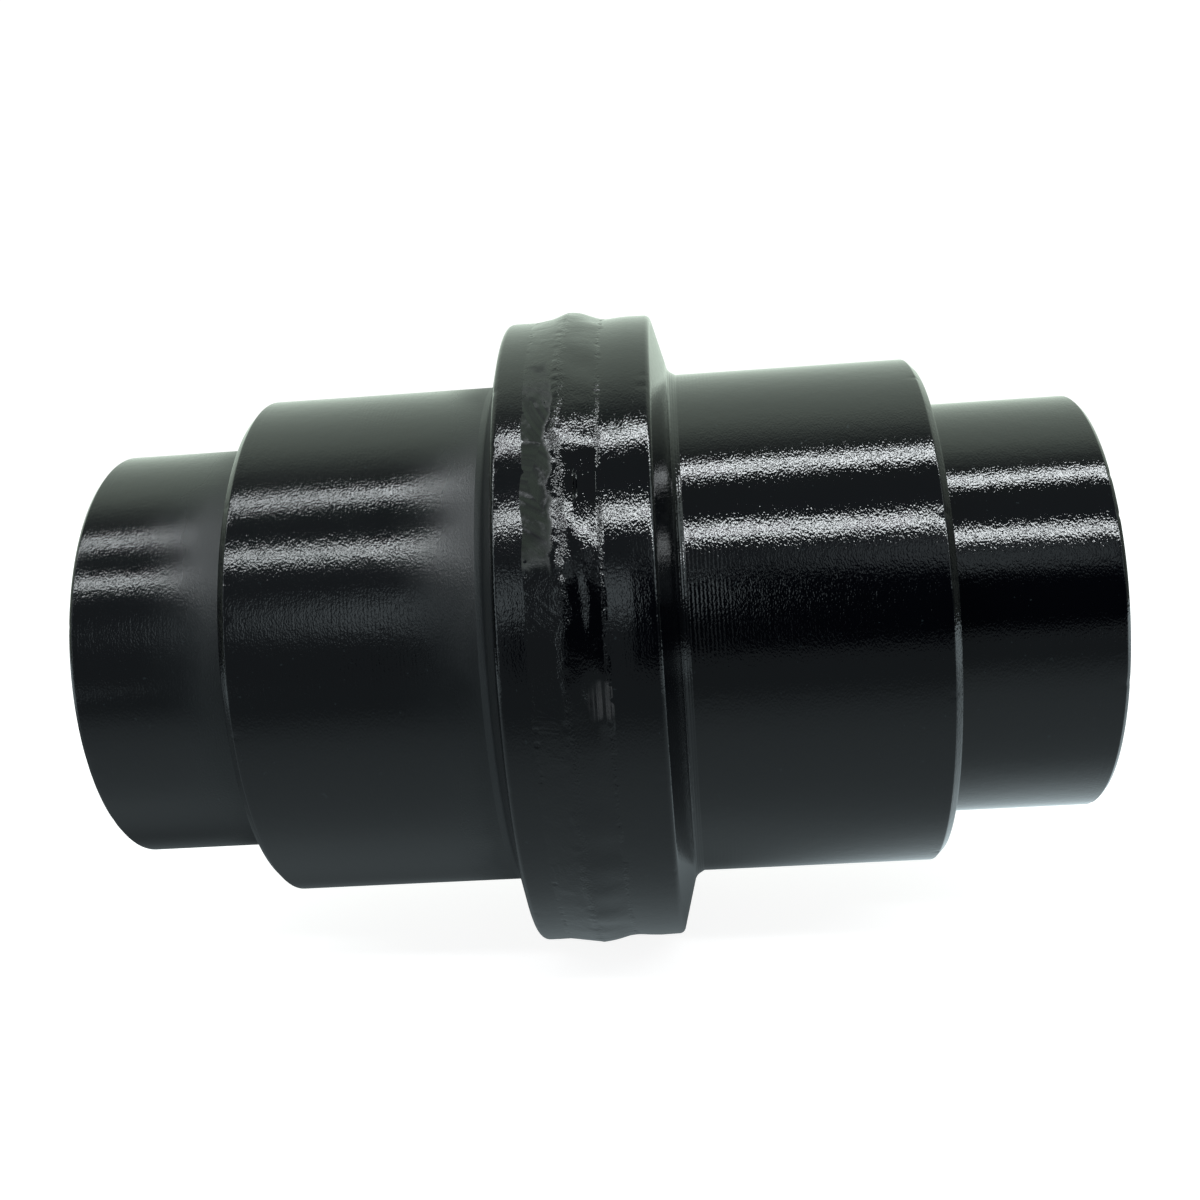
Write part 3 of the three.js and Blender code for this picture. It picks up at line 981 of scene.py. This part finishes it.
def strip_light(name, elevation, turn, start, end, glow):
    """A long soft light over the camera's side, nearly parallel to the roller. turn raises its right end.
    It reaches from start to end along the roller, and glow is its radiance."""
    away = Vector((math.cos(elevation), 0, math.sin(elevation)))
    along = Matrix.Rotation(-turn, 3, away) @ Vector((0, 1, 0))
    data = bpy.data.lights.new(name, "AREA")
    data.shape = "RECTANGLE"
    data.size = end - start
    data.size_y = STRIP_WIDTH
    data.energy = glow * math.pi * data.size * STRIP_WIDTH
    data.color = STRIP_COLOUR
    obj = add_object(name, data)
    turned_to = Matrix((along, away.cross(along), away)).transposed().to_4x4()
    obj.matrix_world = Matrix.Translation(away * STRIP_DISTANCE + along * (start + end) / 2) @ turned_to
    obj.visible_camera = False


def side_panels(tree, x, z, across):
    """Two bright upright panels, one past each end of the roller."""
    width = times(tree, ramp(tree, across, 0.62, 0.68), ramp(tree, across, 0.9, 0.84))
    above = ramp(tree, z, -0.15, 0.1)
    in_front = ramp(tree, x, -0.05, 0.1, 0, 1.6)
    return times(tree, width, times(tree, above, in_front))


def window(tree, direction, elevation, azimuth, reach, core, glow):
    """A round window that fades from its core to its reach, two angles from its middle."""
    elevation, azimuth = math.radians(elevation), math.radians(azimuth)
    middle = Vector((math.cos(azimuth), math.sin(azimuth), math.tan(elevation))).normalized()
    facing = vectors(tree, "DOT_PRODUCT", direction, middle, result="Value")
    edges = math.cos(math.radians(reach)), math.cos(math.radians(core))
    return ramp(tree, facing, *edges, 0, glow, smooth_step=True)


def figure_shadow(tree, x, y, z):
    """A dark figure beside the camera, from 1 outside it to nearly 0."""
    in_front = ramp(tree, x, 0.15, 0.45, smooth_step=True)
    right_of_lens = ramp(tree, y, -0.06, -0.03, smooth_step=True)
    above_feet = ramp(tree, z, -0.06, 0.02, smooth_step=True)
    below_head = ramp(tree, plus(tree, z, y, 0.4), 0.62, 0.55, smooth_step=True)
    figure = times(tree, times(tree, in_front, right_of_lens), times(tree, above_feet, below_head))
    return ramp(tree, figure, 0, 1, 1, 0.05)


def surroundings():
    """A bright room behind and above, dimmer to the sides and on the camera's side, with a panel past
    each end, two small windows low in front and a dark figure beside the camera. The camera itself sees
    plain white."""
    world = bpy.data.worlds.new("surroundings")
    world.use_nodes = True
    bpy.context.scene.world = world
    tree = world.node_tree
    shade = tree.nodes["Background"]
    direction = put(tree, "TexCoord").outputs["Generated"]
    x, y, z = axes(tree, direction)
    across = maths(tree, "ABSOLUTE", y)
    room = ramp(tree, x, -0.45, 0.05, 1.12, 0.2, smooth_step=True)
    sides = ramp(tree, across, 0.45, 0.95, 1, 0.25, smooth_step=True)
    brightness = maths(tree, "ADD", times(tree, room, sides), side_panels(tree, x, z, across))
    for sizes in WINDOWS:
        brightness = maths(tree, "ADD", brightness, window(tree, direction, *sizes))
    brightness = times(tree, brightness, figure_shadow(tree, x, y, z))
    seen = put(tree, "LightPath").outputs["Is Camera Ray"]
    tint = blend_colour(tree, ramp(tree, x, -0.3, 0.5), (0.85, 1.0, 0.87), (0.82, 0.95, 1.0))
    tree.links.new(blend_colour(tree, seen, tint, WHITE), shade.inputs["Color"])
    tree.links.new(blend(tree, seen, brightness, BACKDROP_GLOW), shade.inputs["Strength"])


def floor_paper():
    """White paper to the camera. The roller sees it as a soft light, dimmer far off and under its left
    half."""
    material, tree, shader = new_material("floor")
    seen = put(tree, "LightPath").outputs["Is Camera Ray"]
    parts = axes(tree, position(tree))
    x, y = parts["X"], parts["Y"]
    near = ramp(tree, x, 0.26, 0.07, 0.21, 0.55, smooth_step=True)
    shaded = ramp(tree, y, 15 * MM, 95 * MM, 0.25, 2.0, smooth_step=True)
    under = ramp(tree, x, 45 * MM, 5 * MM, smooth_step=True)
    aside = ramp(tree, maths(tree, "ABSOLUTE", y), 0.25, 0.4, 0, 0.6, smooth_step=True)
    glow = maths(tree, "ADD", times(tree, near, blend(tree, under, 1.0, shaded)), aside)
    base = blend_colour(tree, seen, (0, 0, 0), (0.35, 0.35, 0.35))
    tree.links.new(base, shader.inputs["Base Color"])
    tree.links.new(blend_colour(tree, seen, (0.8, 0.95, 1), WHITE), shader.inputs["Emission Color"])
    tree.links.new(blend(tree, seen, glow, FLOOR_GLOW), shader.inputs["Emission Strength"])
    shader.inputs["Roughness"].default_value = 0.6
    shader.inputs["Specular IOR Level"].default_value = 0
    return material


def floor():
    """A plain pale disc under the roller."""
    segments = 96
    angle = np.arange(segments) * FULL_TURN / segments
    height = np.full(segments, FLOOR_Z)
    co = np.stack([FLOOR_RADIUS * np.cos(angle), FLOOR_RADIUS * np.sin(angle), height], 1)
    mesh = bpy.data.meshes.new("floor")
    mesh.from_pydata(co.tolist(), [], [list(range(segments))])
    mesh.materials.append(floor_paper())
    obj = add_object("floor", mesh)


camera()
for name, elevation, turn in STRIPS:
    angles = math.radians(elevation), math.radians(turn)
    strip_light(f"{name}_left", *angles, -STRIP_REACH, STRIP_SPLIT, LEFT_GLOW)
    strip_light(f"{name}_right", *angles, STRIP_SPLIT, STRIP_REACH, RIGHT_GLOW)
surroundings()
floor()
bpy.context.scene.view_settings.view_transform = "Standard"

bpy.context.view_layer.update()
